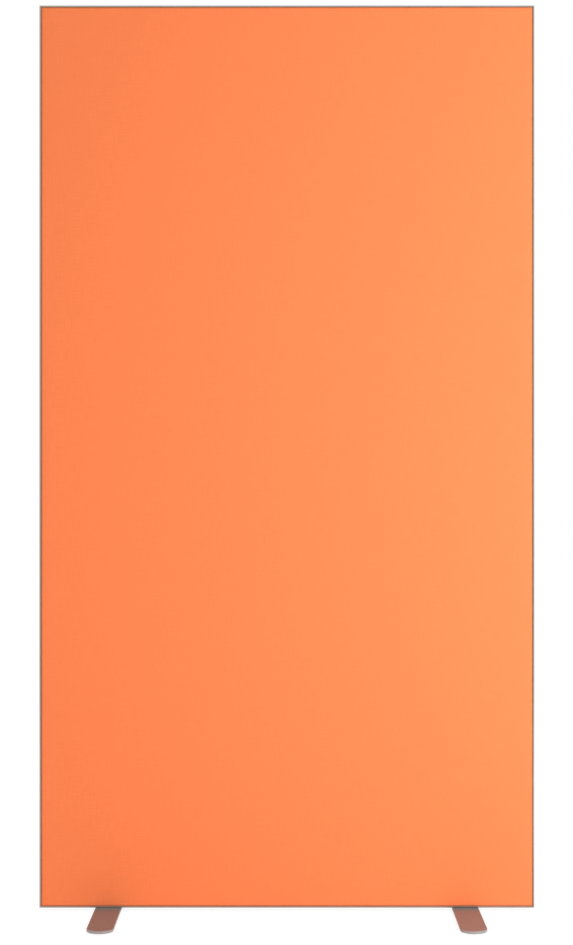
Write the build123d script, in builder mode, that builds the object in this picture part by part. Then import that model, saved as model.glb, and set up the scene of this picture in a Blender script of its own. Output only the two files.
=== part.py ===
from build123d import *
import os

# Free-standing office partition: two stretched fabrics on one aluminium frame, on two plate feet.
# Millimetres, +Z up, the front faces -Y. The origin is on the floor, under the middle of the screen.

# Whole screen
screen_width = 950
screen_height = 1740
frame_depth = 36

# Frame section, all four sides alike, measured inwards from its outer face
lip_wall = 2.7
strip_channel_width = 2.5
groove_mouth_width = 6
groove_mouth_wall = 1.4
groove_width = 8.6
channel_floor_wall = 1.2
web_wall = 1.5
bead_recess = 0.9
chamber_width = 12.8
box_recess = 1.6
box_wall = 1.5
lip_outer_radius = 0.3
lip_inner_radius = 0.3
bead_radius = 0.4
box_radius = 1
mitre_gap = 0.1

# Fabric, and the silicone strip that holds its hem in the channel
cloth_thickness = 0.6
cloth_gap = 0.05
hem_floor_gap = 1
edge_strip_gap = 0.15
edge_strip_sink = 1.1
edge_strip_floor_gap = 0.3
edge_strip_radius = 0.4

# Strip that covers the link groove
cover_gap = 0.1
cover_recess = 0.2
cover_flange = 1
cover_leg = 1

# Corner cleat inside the mitred sections
cleat_gap = 0.15
cleat_leg = 60
cleat_lead_in = 1
cleat_window_length = 11
cleat_window_width = 6
cleat_screw_first = 24
cleat_screw_second = 46

# Socket grub screw, as used in the cleats and the nut blocks
grub_diameter = 6
grub_length = 12
grub_socket_radius = 1.7
grub_socket_depth = 3.5
grub_chamfer = 0.6
socket_sides = 6
thread_gap = 0.05
access_hole_diameter = 6.5

# Cross bar at mid height, on a steel angle at each end
bar_depth = 25
bar_height = 20
bar_wall = 1.5
bar_radius = 1.5
bar_end_gap = 0.2
bracket_leg = 30
bracket_width = 25
bracket_thickness = 2
bracket_bend_radius = 1
bracket_screw_reach = 18
bracket_screw_spacing = 13

# Pan-head tapping screw
tapping_diameter = 4.2
tapping_length = 13
tapping_tip_length = 3
pan_head_diameter = 8
pan_head_height = 3.1
pan_head_radius = 1.2
pan_recess_length = 4.4
pan_recess_width = 1
pan_recess_depth = 1.3
screw_hole_gap = 0.1

# Infill boards
board_thickness = 24
board_gap = 0.3
board_notch_gap = 1

# Feet, from the floor up
pad_thickness = 2.5
foot_length = 400
foot_width = 50
foot_thickness = 5
foot_inset = 132
foot_top_radius = 1
foot_bottom_chamfer = 0.5
foot_running_gap = 0.05
washer_thickness = 0.5
washer_diameter = 32
pad_diameter = 30
pad_inset = 25
pad_edge_radius = 0.4

# Countersunk pivot bolt and the nut block that it screws into
bolt_diameter = 8
bolt_length = 20
bolt_head_diameter = 16
bolt_head_land = 0.4
bolt_head_sink = 0.2
bolt_socket_radius = 2.9
bolt_socket_depth = 2.6
bolt_tip_chamfer = 0.8
pivot_gap = 0.08
bolt_hole_gap = 0.2
nut_block_length = 60
nut_block_screw_offset = 20

# Overrun of the cuts that go right through
overrun = 1

# Places that follow from the sizes above
web_start = lip_wall + strip_channel_width
chamber_start = web_start + web_wall
chamber_end = chamber_start + chamber_width
section_width = chamber_end + box_wall
bead_depth = frame_depth - 2 * bead_recess
box_depth = bead_depth - 2 * box_recess
chamber_depth = box_depth - 2 * box_wall
channel_floor = groove_width / 2 + channel_floor_wall
foot_top = pad_thickness + foot_thickness
panel_base = foot_top + foot_running_gap + washer_thickness
panel_height = screen_height - panel_base
panel_middle = panel_base + panel_height / 2
foot_offset = screen_width / 2 - foot_inset
inner_width = screen_width - 2 * section_width
bar_bottom = panel_middle - bar_height / 2
bar_top = panel_middle + bar_height / 2
cloth_face = bead_depth / 2 + cloth_gap + cloth_thickness

# Each side of the frame starts at one corner and runs round to the next: its plane's x points into
# the screen, its y to the front and its normal along the side
side_planes = {
    "left": Plane(origin=(-screen_width / 2, 0, screen_height), x_dir=(1, 0, 0), z_dir=(0, 0, -1)),
    "bottom": Plane(origin=(-screen_width / 2, 0, panel_base), x_dir=(0, 0, 1), z_dir=(1, 0, 0)),
    "right": Plane(origin=(screen_width / 2, 0, panel_base), x_dir=(-1, 0, 0), z_dir=(0, 0, 1)),
    "top": Plane(origin=(screen_width / 2, 0, screen_height), x_dir=(0, 0, -1), z_dir=(-1, 0, 0)),
}
side_lengths = {
    "left": panel_height,
    "bottom": screen_width,
    "right": panel_height,
    "top": screen_width,
}

# A corner lies where one side starts and another ends
corner_sides = {
    "top_left": ("left", "top"),
    "bottom_left": ("bottom", "left"),
    "bottom_right": ("right", "bottom"),
    "top_right": ("top", "right"),
}

# The middle of the panel, facing forwards and backwards
panel_planes = {
    "front": Plane(origin=(0, 0, panel_middle), x_dir=(1, 0, 0), z_dir=(0, -1, 0)),
    "rear": Plane(origin=(0, 0, panel_middle), x_dir=(-1, 0, 0), z_dir=(0, 1, 0)),
}

from_left = (Align.MIN, Align.CENTER)


def keep(piece, name):
    """Label a finished piece and write it."""
    piece.part.label = name
    export_step(piece.part, f"parts/{name}.step")


def corner_pair(inwards, sideways):
    """The sketch's corners nearest to a point and to its mirror image across the middle line."""
    return [vertices().sort_by_distance((inwards, side * sideways, 0))[0] for side in (-1, 1)]


def mitred_bar(name, section):
    """A bar of one section along a side, cut at 45 degrees where it meets its neighbours."""
    start = side_planes[name]
    length = side_lengths[name]
    end = start.offset(length)
    with BuildSketch(start) as outline:
        add(section.sketch)
    extrude(outline.sketch, amount=length)
    start_cut = Plane(origin=start.origin, z_dir=start.z_dir - start.x_dir)
    end_cut = Plane(origin=end.origin, z_dir=-(start.z_dir + start.x_dir))
    split(bisect_by=start_cut.offset(mitre_gap / 2), keep=Keep.TOP)
    split(bisect_by=end_cut.offset(mitre_gap / 2), keep=Keep.TOP)


def side_face(name, depth):
    """The plane square to a side's inward direction at a depth below its outer face. Its x runs
    along the side from the side's start."""
    side = side_planes[name]
    return Plane(origin=side.origin + side.x_dir * depth, x_dir=side.z_dir, z_dir=side.x_dir)


def drill(plane, places, diameter, depth):
    """Round holes along a plane's normal at places on it."""
    with BuildSketch(plane) as holes:
        with Locations(*places):
            Circle(diameter / 2)
    extrude(holes.sketch, amount=depth, mode=Mode.SUBTRACT)


def cleat_screw_places(name):
    """Where the cleats' grub screws stand along a side, at its start and at its end."""
    corner = chamber_start + cleat_gap
    near = [corner + cleat_screw_first, corner + cleat_screw_second]
    far = [side_lengths[name] - place for place in near]
    return [(place, 0) for place in near], [(place, 0) for place in far]


def place_screws(screw, plane, places):
    """Copies of a screw stood on a plane at places on it."""
    with Locations(plane):
        with Locations(*places):
            add(screw.part)


def access_holes(name, places):
    """Holes in a side's inner wall through which its grub screws are reached."""
    drill(side_face(name, chamber_end - overrun), places, access_hole_diameter, box_wall + 2 * overrun)


os.makedirs("parts", exist_ok=True)

# The frame's section: outer wall with the link groove in its middle, a channel on each side for the
# fabric's hem, a bead that the fabric turns over, and a hollow box towards the inside
with BuildSketch() as frame_section:
    Rectangle(lip_wall, frame_depth, align=from_left)
    Rectangle(web_start, 2 * channel_floor, align=from_left)
    with Locations((web_start, 0)):
        Rectangle(web_wall, bead_depth, align=from_left)
        Rectangle(section_width - web_start, box_depth, align=from_left)
    with Locations((chamber_start, 0)):
        Rectangle(chamber_width, chamber_depth, align=from_left, mode=Mode.SUBTRACT)
    Rectangle(groove_mouth_wall, groove_mouth_width, align=from_left, mode=Mode.SUBTRACT)
    with Locations((groove_mouth_wall, 0)):
        groove_depth = web_start - groove_mouth_wall
        Rectangle(groove_depth, groove_width, align=from_left, mode=Mode.SUBTRACT)
    fillet(corner_pair(section_width, box_depth / 2), radius=box_radius)
    fillet(corner_pair(web_start, bead_depth / 2), radius=bead_radius)
    fillet(corner_pair(chamber_start, bead_depth / 2), radius=bead_radius)
    fillet(corner_pair(0, frame_depth / 2), radius=lip_outer_radius)
    fillet(corner_pair(lip_wall, frame_depth / 2), radius=lip_inner_radius)

# Grub screw: stands on its point at the origin, its socket on top
with BuildPart() as grub_screw:
    with BuildSketch():
        Circle(grub_diameter / 2)
    extrude(amount=grub_length)
    chamfer(edges().filter_by(GeomType.CIRCLE), length=grub_chamfer)
    with BuildSketch(Plane.XY.offset(grub_length)):
        RegularPolygon(grub_socket_radius, socket_sides)
    extrude(amount=-grub_socket_depth, mode=Mode.SUBTRACT)

# Tapping screw: its pan head stands on the origin, its point hangs below
with BuildPart() as pan_screw:
    with BuildSketch(Plane.XZ):
        with BuildLine():
            Polyline(
                (0, -tapping_length),
                (tapping_diameter / 2, tapping_tip_length - tapping_length),
                (tapping_diameter / 2, 0),
                (pan_head_diameter / 2, 0),
                (pan_head_diameter / 2, pan_head_height),
                (0, pan_head_height),
                close=True,
            )
        make_face()
    revolve(axis=Axis.Z)
    fillet(edges().filter_by(GeomType.CIRCLE).sort_by(Axis.Z)[-1], radius=pan_head_radius)
    with BuildSketch(Plane.XY.offset(pan_head_height)):
        Rectangle(pan_recess_length, pan_recess_width)
        Rectangle(pan_recess_width, pan_recess_length)
    extrude(amount=-pan_recess_depth, mode=Mode.SUBTRACT)

# Places of the fasteners on the frame's sides
bar_screw_level = bar_bottom - bracket_screw_reach
bracket_screw_rows = [-bracket_screw_spacing / 2, bracket_screw_spacing / 2]
stile_screw_places = {
    "left": [(screen_height - bar_screw_level, row) for row in bracket_screw_rows],
    "right": [(bar_screw_level - panel_base, row) for row in bracket_screw_rows],
}
foot_places = [foot_inset, screen_width - foot_inset]
tapping_hole_diameter = tapping_diameter + 2 * screw_hole_gap
grub_hole_diameter = grub_diameter + 2 * thread_gap

# Stiles: upright sides, drilled for the cleats' screws and for the cross bar's brackets
for name in ("left", "right"):
    with BuildPart() as stile:
        mitred_bar(name, frame_section)
        for places in cleat_screw_places(name):
            access_holes(name, places)
        wall_face = side_face(name, chamber_end - overrun)
        drill(wall_face, stile_screw_places[name], tapping_hole_diameter, box_wall + 2 * overrun)
    keep(stile, f"{name}_stile")

# Top rail
with BuildPart() as top_rail:
    mitred_bar("top", frame_section)
    for places in cleat_screw_places("top"):
        access_holes("top", places)
keep(top_rail, "top_rail")

# Bottom rail: also drilled for the pivot bolts and for the nut blocks' screws
nut_block_screw_places = {
    place: [(place - nut_block_screw_offset, 0), (place + nut_block_screw_offset, 0)]
    for place in foot_places
}
bolt_clear_diameter = bolt_diameter + 2 * bolt_hole_gap
with BuildPart() as bottom_rail:
    mitred_bar("bottom", frame_section)
    for places in cleat_screw_places("bottom"):
        access_holes("bottom", places)
    for place in foot_places:
        access_holes("bottom", nut_block_screw_places[place])
        drill(side_face("bottom", -overrun), [(place, 0)], bolt_clear_diameter, chamber_start + 2 * overrun)
keep(bottom_rail, "bottom_rail")

# Corner cleats: an L in the two chambers that meet at a corner, with a window in each leg
cleat_corner = chamber_start + cleat_gap
cleat_thickness = chamber_width - 2 * cleat_gap
cleat_width = chamber_depth - 2 * cleat_gap
window_middle = cleat_corner + (cleat_screw_first + cleat_screw_second) / 2
for corner, (starting, ending) in corner_sides.items():
    start = side_planes[starting]
    corner_plane = Plane(origin=start.origin, x_dir=start.x_dir, z_dir=-start.y_dir)
    screws = [(starting, cleat_screw_places(starting)[0]), (ending, cleat_screw_places(ending)[1])]
    with BuildPart() as cleat:
        with BuildSketch(corner_plane):
            with Locations((cleat_corner, cleat_corner)):
                Rectangle(cleat_leg, cleat_thickness, align=Align.MIN)
                Rectangle(cleat_thickness, cleat_leg, align=Align.MIN)
            chamfer(vertices().group_by(Axis.X)[-1], length=cleat_lead_in)
            chamfer(vertices().group_by(Axis.Y)[-1], length=cleat_lead_in)
            middle_line = cleat_corner + cleat_thickness / 2
            with Locations((window_middle, middle_line)):
                SlotOverall(cleat_window_length, cleat_window_width, mode=Mode.SUBTRACT)
            with Locations((middle_line, window_middle)):
                SlotOverall(cleat_window_length, cleat_window_width, rotation=90, mode=Mode.SUBTRACT)
        extrude(amount=cleat_width / 2, both=True)
        for name, places in screws:
            drill(side_face(name, chamber_start), places, grub_hole_diameter, chamber_width)
    keep(cleat, f"cleat_{corner}")

    with BuildPart() as cleat_screws:
        for name, places in screws:
            place_screws(grub_screw, side_face(name, chamber_start), places)
    keep(cleat_screws, f"cleat_screws_{corner}")

# Cross bar: a rectangular tube between the stiles
bar_plane = Plane(origin=(0, 0, panel_middle), x_dir=(0, 1, 0), z_dir=(1, 0, 0))
with BuildPart() as cross_bar:
    with BuildSketch(bar_plane):
        RectangleRounded(bar_depth, bar_height, bar_radius)
        offset(amount=-bar_wall, mode=Mode.SUBTRACT)
    extrude(amount=inner_width / 2 - bar_end_gap, both=True)
    bar_screw_offset = inner_width / 2 - bracket_screw_reach
    places = [(end * bar_screw_offset, row) for end in (-1, 1) for row in bracket_screw_rows]
    drill(Plane.XY.offset(bar_bottom - overrun), places, tapping_hole_diameter, bar_wall + 2 * overrun)
keep(cross_bar, "cross_bar")

# Brackets: a steel angle under each end of the cross bar, against the stile
for name, side in (("left", -1), ("right", 1)):
    with BuildPart() as bracket:
        corner_x = side * inner_width / 2
        with BuildSketch(Plane.XZ):
            with Locations((corner_x, bar_bottom)):
                towards_middle = Align.MIN if side < 0 else Align.MAX
                Rectangle(bracket_leg, bracket_thickness, align=(towards_middle, Align.MAX))
                Rectangle(bracket_thickness, bracket_leg, align=(towards_middle, Align.MAX))
            outer_bend = vertices().sort_by_distance((corner_x, bar_bottom, 0))[0]
            fillet(outer_bend, radius=bracket_bend_radius + bracket_thickness)
            inner_bend_x = corner_x - side * bracket_thickness
            inner_bend_level = bar_bottom - bracket_thickness
            inner_bend = vertices().sort_by_distance((inner_bend_x, inner_bend_level, 0))[0]
            fillet(inner_bend, radius=bracket_bend_radius)
        extrude(amount=bracket_width / 2, both=True)
        places = [(side * bar_screw_offset, row) for row in bracket_screw_rows]
        under_face = Plane.XY.offset(bar_bottom - bracket_thickness)
        drill(under_face, places, tapping_hole_diameter, bracket_thickness)
        wall_face = side_face(name, section_width)
        drill(wall_face, stile_screw_places[name], tapping_hole_diameter, bracket_thickness)
    keep(bracket, f"cross_bar_bracket_{name}")

    with BuildPart() as bracket_screws:
        underside = (0, 0, bar_bottom - bracket_thickness)
        head_plane = Plane(origin=underside, x_dir=(1, 0, 0), z_dir=(0, 0, -1))
        place_screws(pan_screw, head_plane, places)
        head_plane = side_face(name, section_width + bracket_thickness)
        place_screws(pan_screw, head_plane, stile_screw_places[name])
    keep(bracket_screws, f"cross_bar_screws_{name}")

# Infill boards above and below the cross bar, the lower one notched round the brackets
board_width = inner_width - 2 * board_gap
board_levels = {
    "upper": (bar_top + board_gap, screen_height - section_width - board_gap),
    "lower": (panel_base + section_width + board_gap, bar_bottom - board_gap),
}
for name, (low, high) in board_levels.items():
    with BuildPart() as board:
        with BuildSketch(Plane.XZ):
            with Locations((0, low)):
                Rectangle(board_width, high - low, align=(Align.CENTER, Align.MIN))
            if name == "lower":
                notch = 2 * (bracket_leg + board_notch_gap)
                with Locations((-inner_width / 2, bar_bottom), (inner_width / 2, bar_bottom)):
                    Rectangle(notch, notch, mode=Mode.SUBTRACT)
        extrude(amount=board_thickness / 2, both=True)
    keep(board, f"{name}_infill_board")

# Fabrics: a flat sheet that turns over the frame's bead into a hem all round
cloth_edge = web_start - cloth_gap - cloth_thickness
hem_depth = cloth_face - channel_floor - hem_floor_gap
cloth_inner_radius = bead_radius + cloth_gap
for name, panel_plane in panel_planes.items():
    face_plane = panel_plane.offset(cloth_face)
    outwards = Axis(panel_plane.origin, panel_plane.z_dir)
    with BuildPart() as cloth:
        with BuildSketch(face_plane):
            Rectangle(screen_width - 2 * cloth_edge, panel_height - 2 * cloth_edge)
        extrude(amount=-hem_depth)
        fillet(faces().sort_by(outwards)[-1].edges(), radius=cloth_inner_radius + cloth_thickness)
        with BuildSketch(face_plane.offset(-cloth_thickness)):
            bead_edge = cloth_edge + cloth_thickness
            Rectangle(screen_width - 2 * bead_edge, panel_height - 2 * bead_edge)
        extrude(amount=cloth_thickness - hem_depth, mode=Mode.SUBTRACT)
        inner_face = faces().filter_by(outwards).sort_by(outwards)[-2]
        fillet(inner_face.edges(), radius=cloth_inner_radius)
    keep(cloth, f"{name}_fabric")

# Edge strips: silicone, beside the hem in each channel
edge_strip_start = lip_wall + edge_strip_gap
edge_strip_end = cloth_edge - edge_strip_gap
edge_strip_low = channel_floor + edge_strip_floor_gap
edge_strip_high = frame_depth / 2 - edge_strip_sink
for face_name, facing in (("front", 1), ("rear", -1)):
    with BuildSketch() as edge_strip_section:
        middle = facing * (edge_strip_low + edge_strip_high) / 2
        with Locations((edge_strip_start, middle)):
            Rectangle(edge_strip_end - edge_strip_start, edge_strip_high - edge_strip_low, align=from_left)
        fillet(vertices(), radius=edge_strip_radius)
    for side_name in side_planes:
        with BuildPart() as edge_strip:
            mitred_bar(side_name, edge_strip_section)
        keep(edge_strip, f"{face_name}_edge_strip_{side_name}")

# Cover strips: a cap that fills the groove's mouth, a flange behind the mouth and two legs
cover_flange_start = groove_mouth_wall + cover_gap
cover_leg_start = cover_flange_start + cover_flange
cover_width = groove_width - 2 * cover_gap
with BuildSketch() as cover_section:
    with Locations((cover_recess, 0)):
        Rectangle(cover_leg_start - cover_recess, groove_mouth_width - 2 * cover_gap, align=from_left)
    with Locations((cover_flange_start, 0)):
        Rectangle(web_start - cover_gap - cover_flange_start, cover_width, align=from_left)
    with Locations((cover_leg_start, 0)):
        leg_space = cover_width - 2 * cover_leg
        Rectangle(web_start - cover_leg_start, leg_space, align=from_left, mode=Mode.SUBTRACT)
for side_name in ("left", "right", "top"):
    with BuildPart() as cover_strip:
        mitred_bar(side_name, cover_section)
    keep(cover_strip, f"{side_name}_cover_strip")

# Feet, each with its pads, pivot bolt, thrust washer and nut block
bolt_base = pad_thickness + bolt_head_sink
bolt_neck = bolt_base + bolt_head_land + (bolt_head_diameter - bolt_diameter) / 2


def bolt_outline(gap, base, top):
    """Half outline of the pivot bolt, its radii grown by a gap, from base to top."""
    with BuildLine() as outline:
        Polyline(
            (0, base),
            (bolt_head_diameter / 2 + gap, base),
            (bolt_head_diameter / 2 + gap, bolt_base + bolt_head_land),
            (bolt_diameter / 2 + gap, bolt_neck),
            (bolt_diameter / 2 + gap, top),
            (0, top),
            close=True,
        )
    make_face(outline.edges())


for name, side, place in (("left", -1, foot_places[0]), ("right", 1, foot_places[1])):
    foot_x = side * foot_offset
    pivot_plane = Plane(origin=(foot_x, 0, 0), x_dir=(1, 0, 0), z_dir=(0, -1, 0))
    pivot_axis = Axis((foot_x, 0, 0), (0, 0, 1))

    with BuildPart() as foot:
        with BuildSketch(Plane.XY.offset(pad_thickness)):
            with Locations((foot_x, 0)):
                SlotOverall(foot_length, foot_width, rotation=90)
        extrude(amount=foot_thickness)
        fillet(faces().sort_by(Axis.Z)[-1].edges(), radius=foot_top_radius)
        chamfer(faces().sort_by(Axis.Z)[0].edges(), length=foot_bottom_chamfer)
        with BuildSketch(pivot_plane):
            bolt_outline(pivot_gap, pad_thickness - overrun, foot_top + overrun)
        revolve(axis=pivot_axis, mode=Mode.SUBTRACT)
    keep(foot, f"{name}_foot")

    for end_name, end in (("front", -1), ("rear", 1)):
        with BuildPart() as pad:
            with BuildSketch():
                with Locations((foot_x, end * (foot_length / 2 - pad_inset))):
                    Circle(pad_diameter / 2)
            extrude(amount=pad_thickness)
            fillet(faces().sort_by(Axis.Z)[0].edges(), radius=pad_edge_radius)
        keep(pad, f"{name}_foot_pad_{end_name}")

    with BuildPart() as pivot_bolt:
        with BuildSketch(pivot_plane):
            bolt_outline(0, bolt_base, bolt_base + bolt_length)
        revolve(axis=pivot_axis)
        chamfer(edges().sort_by(Axis.Z)[-1], length=bolt_tip_chamfer)
        with BuildSketch(Plane.XY.offset(bolt_base)):
            with Locations((foot_x, 0)):
                RegularPolygon(bolt_socket_radius, socket_sides)
        extrude(amount=bolt_socket_depth, mode=Mode.SUBTRACT)
    keep(pivot_bolt, f"{name}_foot_pivot_bolt")

    with BuildPart() as washer:
        with BuildSketch(Plane.XY.offset(foot_top + foot_running_gap)):
            with Locations((foot_x, 0)):
                Circle(washer_diameter / 2)
                Circle(bolt_clear_diameter / 2, mode=Mode.SUBTRACT)
        extrude(amount=washer_thickness)
    keep(washer, f"{name}_foot_thrust_washer")

    with BuildPart() as nut_block:
        with BuildSketch(side_face("bottom", cleat_corner)):
            with Locations((place, 0)):
                Rectangle(nut_block_length, cleat_width)
        extrude(amount=cleat_thickness)
        bolt_thread_diameter = bolt_diameter + 2 * thread_gap
        drill(side_face("bottom", chamber_start), [(place, 0)], bolt_thread_diameter, chamber_width)
        screw_places = nut_block_screw_places[place]
        drill(side_face("bottom", chamber_start), screw_places, grub_hole_diameter, chamber_width)
    keep(nut_block, f"{name}_foot_nut_block")

    with BuildPart() as nut_block_screws:
        place_screws(grub_screw, side_face("bottom", chamber_start), nut_block_screw_places[place])
    keep(nut_block_screws, f"{name}_foot_nut_block_screws")
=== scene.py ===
"""Blender scene of a free-standing office partition.

Two stretched fabrics on one slim aluminium frame, on two flat swivelling steel feet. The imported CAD
model is the frame of everything here: sizes and places are read from its nodes, in metres, +Z up,
and the front faces -Y.
"""

import logging
import math
from dataclasses import dataclass, field
from enum import Enum
from functools import cache, partial

import bpy
from mathutils import Matrix, Vector


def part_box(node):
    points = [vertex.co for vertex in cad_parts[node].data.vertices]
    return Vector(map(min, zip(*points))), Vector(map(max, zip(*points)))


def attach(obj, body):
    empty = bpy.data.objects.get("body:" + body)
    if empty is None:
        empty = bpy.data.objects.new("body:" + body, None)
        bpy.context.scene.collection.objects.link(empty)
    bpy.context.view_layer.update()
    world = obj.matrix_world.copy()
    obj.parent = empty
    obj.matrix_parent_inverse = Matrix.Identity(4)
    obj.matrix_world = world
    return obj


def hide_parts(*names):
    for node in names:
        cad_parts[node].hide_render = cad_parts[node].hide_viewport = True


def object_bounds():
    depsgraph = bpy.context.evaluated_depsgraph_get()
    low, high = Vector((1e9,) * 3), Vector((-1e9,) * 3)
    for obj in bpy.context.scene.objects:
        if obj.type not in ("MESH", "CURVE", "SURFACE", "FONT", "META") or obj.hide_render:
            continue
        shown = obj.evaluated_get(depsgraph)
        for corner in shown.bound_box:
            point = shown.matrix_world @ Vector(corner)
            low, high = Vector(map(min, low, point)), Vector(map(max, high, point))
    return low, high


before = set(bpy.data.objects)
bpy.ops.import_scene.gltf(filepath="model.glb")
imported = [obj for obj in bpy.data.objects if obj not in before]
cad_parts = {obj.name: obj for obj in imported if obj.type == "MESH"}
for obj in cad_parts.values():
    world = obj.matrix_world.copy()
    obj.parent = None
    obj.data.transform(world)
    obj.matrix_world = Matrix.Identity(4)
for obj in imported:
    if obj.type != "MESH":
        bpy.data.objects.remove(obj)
CAD_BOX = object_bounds()
MM = 0.001
SHARP_ANGLE = math.radians(40)
# Nearly all the values of a noise texture lie between these two
NOISE_LOW, NOISE_HIGH = 0.3, 0.7
# What each piece's geometry tree asks for besides its measures
SHARED_INPUTS = {
    "Place": "NodeSocketVector",
    "Turn": "NodeSocketVector",
    "Material": "NodeSocketMaterial",
}
log = logging.getLogger("office_partition")

Colour = tuple[float, float, float, float]


class Choice(Enum):
    """A choice among named options, where an option's name is also part of the pieces' names."""

    @property
    def word(self) -> str:
        """The option as it stands in a piece's name."""
        return self.name.lower()


class Face(Choice):
    """The two faces of the panel, with the turn about Z that brings a front piece there."""

    FRONT = 0.0
    REAR = math.pi

    @property
    def outwards(self) -> Vector:
        """The direction that the face looks in."""
        return Vector((0.0, -1.0 if self is Face.FRONT else 1.0, 0.0))


class Side(Choice):
    """The four sides of the frame, with the direction from each into the panel."""

    LEFT = (1.0, 0.0, 0.0)
    BOTTOM = (0.0, 0.0, 1.0)
    RIGHT = (-1.0, 0.0, 0.0)
    TOP = (0.0, 0.0, -1.0)


class Grain(Enum):
    """The direction of a drawn or brushed surface's lines."""

    ALONG_X = 0
    ALONG_Y = 1
    ALONG_Z = 2


class Shine(Enum):
    """What a lamp's light falls on: matt surfaces, or the gloss of the others."""

    ON_MATT = "matt"
    IN_GLOSS = "gloss"


def linear(hex_colour: str) -> Colour:
    """Turn an sRGB hex colour into the linear one that a node takes.

    Args:
        hex_colour: six hex digits, with or without a leading #.

    Returns:
        Red, green, blue and an alpha of 1.
    """
    digits = hex_colour.lstrip("#")
    # The curve of the sRGB standard, straight near black and a power above it
    shares = [int(digits[start:start + 2], 16) / 255 for start in (0, 2, 4)]
    red, green, blue = (
        share / 12.92 if share <= 0.04045 else ((share + 0.055) / 1.055) ** 2.4 for share in shares
    )
    return red, green, blue, 1.0


def feed(tree: bpy.types.NodeTree, node: bpy.types.Node, inputs: dict[str | int, object]) -> None:
    """Give a node's inputs their values and links.

    Args:
        tree: the node tree that the node is in.
        node: the node.
        inputs: for each input, by name, identifier or number, a value, the output to link, a node to
            link by its first output, or a list of what to link.
    """
    by_identifier = {socket.identifier: socket for socket in node.inputs}
    for key, value in inputs.items():
        socket = by_identifier.get(key) or node.inputs[key]
        for source in value if isinstance(value, list) else [value]:
            if isinstance(source, bpy.types.Node):
                source = source.outputs[0]
            if isinstance(source, bpy.types.NodeSocket):
                tree.links.new(source, socket)
            else:
                socket.default_value = source


def add_node(
    tree: bpy.types.NodeTree, kind: str, inputs: dict[str | int, object] | None = None,
    **settings: object,
) -> bpy.types.Node:
    """Add one node to a tree, with its settings and links.

    Args:
        tree: the material's, world's or geometry's node tree.
        kind: the node's type name.
        inputs: what its inputs get, as for feed.
        **settings: the node's own properties.

    Returns:
        The new node.
    """
    node = tree.nodes.new(kind)
    for name, value in settings.items():
        setattr(node, name, value)
    feed(tree, node, inputs or {})
    return node


def start_material(name: str) -> tuple[bpy.types.Material, bpy.types.NodeTree, bpy.types.Node]:
    """Make an empty material with a Principled shader on its output.

    Args:
        name: the material's name.

    Returns:
        The material, its node tree and its shader.
    """
    material = bpy.data.materials.new(name)
    material.use_nodes = True
    tree = material.node_tree
    tree.nodes.clear()
    shader = add_node(tree, "ShaderNodeBsdfPrincipled")
    add_node(tree, "ShaderNodeOutputMaterial", {"Surface": shader.outputs["BSDF"]})
    return material, tree, shader


@dataclass(frozen=True)
class Finish:
    """What every finish has: a name, a colour and a roughness."""

    name: str
    colour: str
    roughness: float

    def material(self) -> bpy.types.Material:
        """Build the finish's material."""
        raise NotImplementedError


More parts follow.
